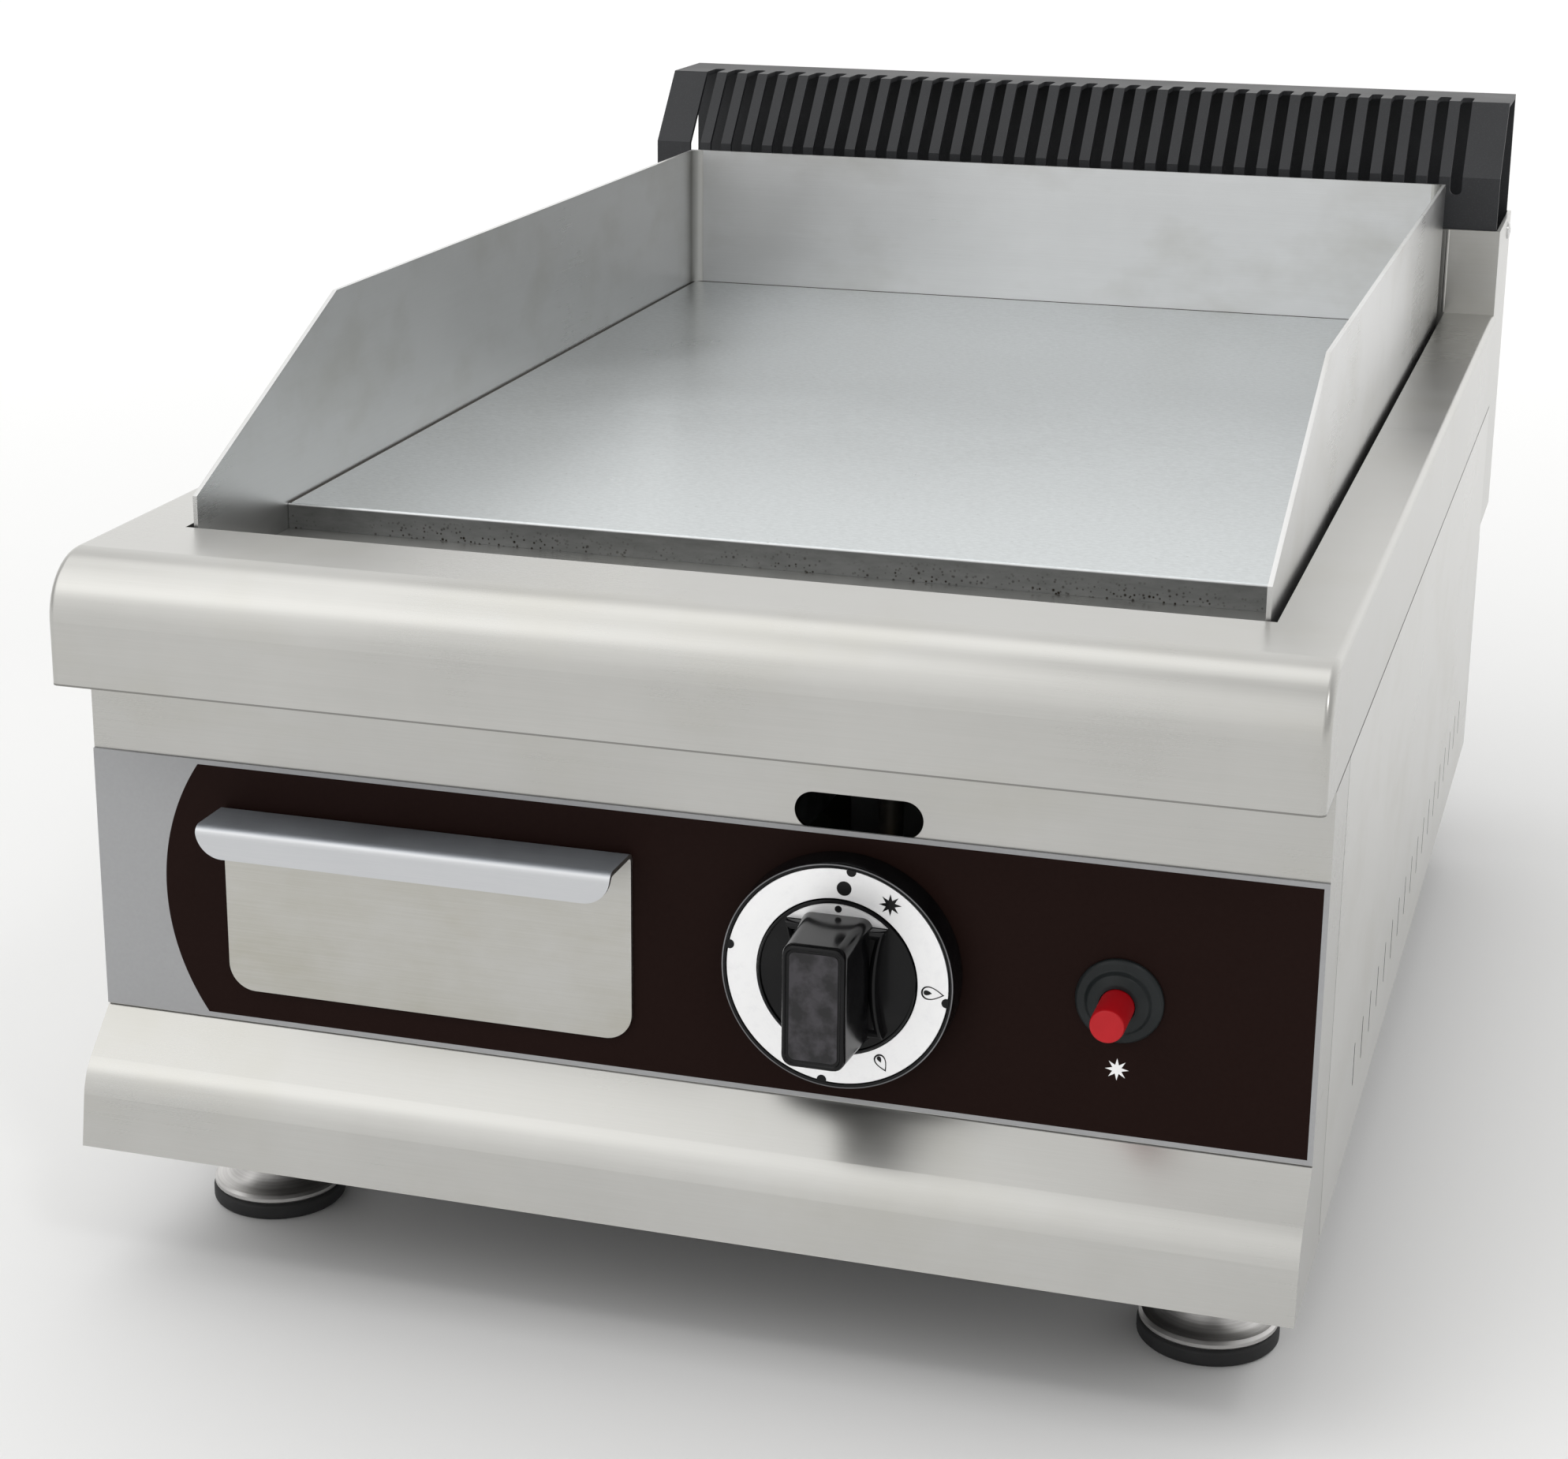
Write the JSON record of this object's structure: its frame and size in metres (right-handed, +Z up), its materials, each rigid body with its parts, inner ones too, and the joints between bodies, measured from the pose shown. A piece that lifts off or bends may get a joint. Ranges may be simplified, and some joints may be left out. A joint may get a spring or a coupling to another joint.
{
  "type": "flat top griddle",
  "caption": "Countertop gas griddle: stainless body with bullnose edge, steel plate between splash guards, grease drawer, knob, igniter and rear slotted flue.",
  "frame": {"origin": "centre of the bottom of the bounding box, on the counter between the four feet", "axes": "+X to the right seen from the front, +Y from the control panel to the flue, +Z up"},
  "size_m": [0.4, 0.662, 0.3385],
  "materials": {
    "stainless": "brushed stainless sheet",
    "galvanised": "galvanised sheet",
    "aluminised": "heat-dulled aluminised steel",
    "plate_steel": "ground plate with mill-scale edges",
    "fascia_print": "printed, satin",
    "grille_enamel": "matte charcoal enamel",
    "black_plastic": "glossy moulded",
    "dial_silver": "satin foil with black symbols",
    "grey_plastic": "matte moulded",
    "red_plastic": "satin moulded",
    "rubber": "moulded rubber",
    "foot_metal": "turned and polished",
    "burner_steel": "heat-tinted",
    "brass": "machined",
    "ceramic": "glazed ceramic insulator",
    "fastener": "plated"
  },
  "bodies": {
    "root": {"worktop": "stainless", "front_frame": "stainless", "control_fascia": "fascia_print", "side_panel_left": "stainless", "side_panel_right": "stainless", "back_panel": "galvanised", "back_panel_screws": "fastener", "base_pan": "galvanised", "foot_nuts": "fastener", "griddle_plate": "plate_steel", "splash_guard_left": "stainless", "splash_guard_right": "stainless", "splash_guard_back": "stainless", "grease_trough": "stainless", "drain_chute": "stainless", "plate_rail_left": "galvanised", "plate_rail_right": "galvanised", "plate_studs": "fastener", "heat_shield_left": "aluminised", "heat_shield_right": "aluminised", "heat_shield_front": "aluminised", "drawer_runner_left": "galvanised", "drawer_runner_right": "galvanised", "drawer_crossbar": "galvanised", "burner": "burner_steel", "burner_rail_front": "aluminised", "burner_rail_rear": "aluminised", "gas_pipe": "aluminised", "gas_inlet_union": "brass", "gas_valve_body": "brass", "injector_feed_pipe": "aluminised", "injector": "brass", "knob_bezel": "black_plastic", "dial_ring": "dial_silver", "valve_spring": "fastener", "igniter_bezel": "grey_plastic", "piezo_igniter": "grey_plastic", "igniter_nut": "grey_plastic", "igniter_spring": "fastener", "pilot_bracket": "aluminised", "pilot_burner": "brass", "spark_electrode": "ceramic", "thermocouple": "fastener", "flue_riser": "stainless", "flue_grille": "grille_enamel", "riser_screws": "fastener"},
    "drawer": {"grease_drawer": "stainless", "drawer_front": "stainless"},
    "valve_slider": {"valve_collar": "brass"},
    "knob": {"control_knob": "black_plastic", "valve_stem": "fastener"},
    "button": {"igniter_button": "red_plastic"},
    "foot_front_left": {"foot_bell_front_left": "foot_metal", "foot_pad_front_left": "rubber"},
    "foot_front_right": {"foot_bell_front_right": "foot_metal", "foot_pad_front_right": "rubber"},
    "foot_rear_left": {"foot_bell_rear_left": "foot_metal", "foot_pad_rear_left": "rubber"},
    "foot_rear_right": {"foot_bell_rear_right": "foot_metal", "foot_pad_rear_right": "rubber"}
  },
  "joints": [
    {"name": "drawer_slide", "type": "slide", "parent": "root", "child": "drawer", "axis": [0, -1, 0], "range_m": [0, 0.25]},
    {"name": "knob_push", "type": "slide", "parent": "root", "child": "valve_slider", "axis": [0, 1, 0], "range_m": [0, 0.003], "stiffness_N_per_m": 2500, "springref_m": -0.003, "deforming": ["valve_spring"]},
    {"name": "knob_turn", "type": "hinge", "parent": "valve_slider", "child": "knob", "pos_m": [0.055, -0.299, 0.1345], "axis": [0, 1, 0], "range_deg": [0, 165]},
    {"name": "igniter_press", "type": "slide", "parent": "root", "child": "button", "axis": [0, 1, 0], "range_m": [0, 0.006], "stiffness_N_per_m": 1500, "springref_m": -0.002, "deforming": ["igniter_spring"]},
    {"name": "foot_level_front_left", "type": "slide", "parent": "root", "child": "foot_front_left", "axis": [0, 0, -1], "range_m": [0, 0.012]},
    {"name": "foot_level_front_right", "type": "slide", "parent": "root", "child": "foot_front_right", "axis": [0, 0, -1], "range_m": [0, 0.012]},
    {"name": "foot_level_rear_left", "type": "slide", "parent": "root", "child": "foot_rear_left", "axis": [0, 0, -1], "range_m": [0, 0.012]},
    {"name": "foot_level_rear_right", "type": "slide", "parent": "root", "child": "foot_rear_right", "axis": [0, 0, -1], "range_m": [0, 0.012]}
  ]
}
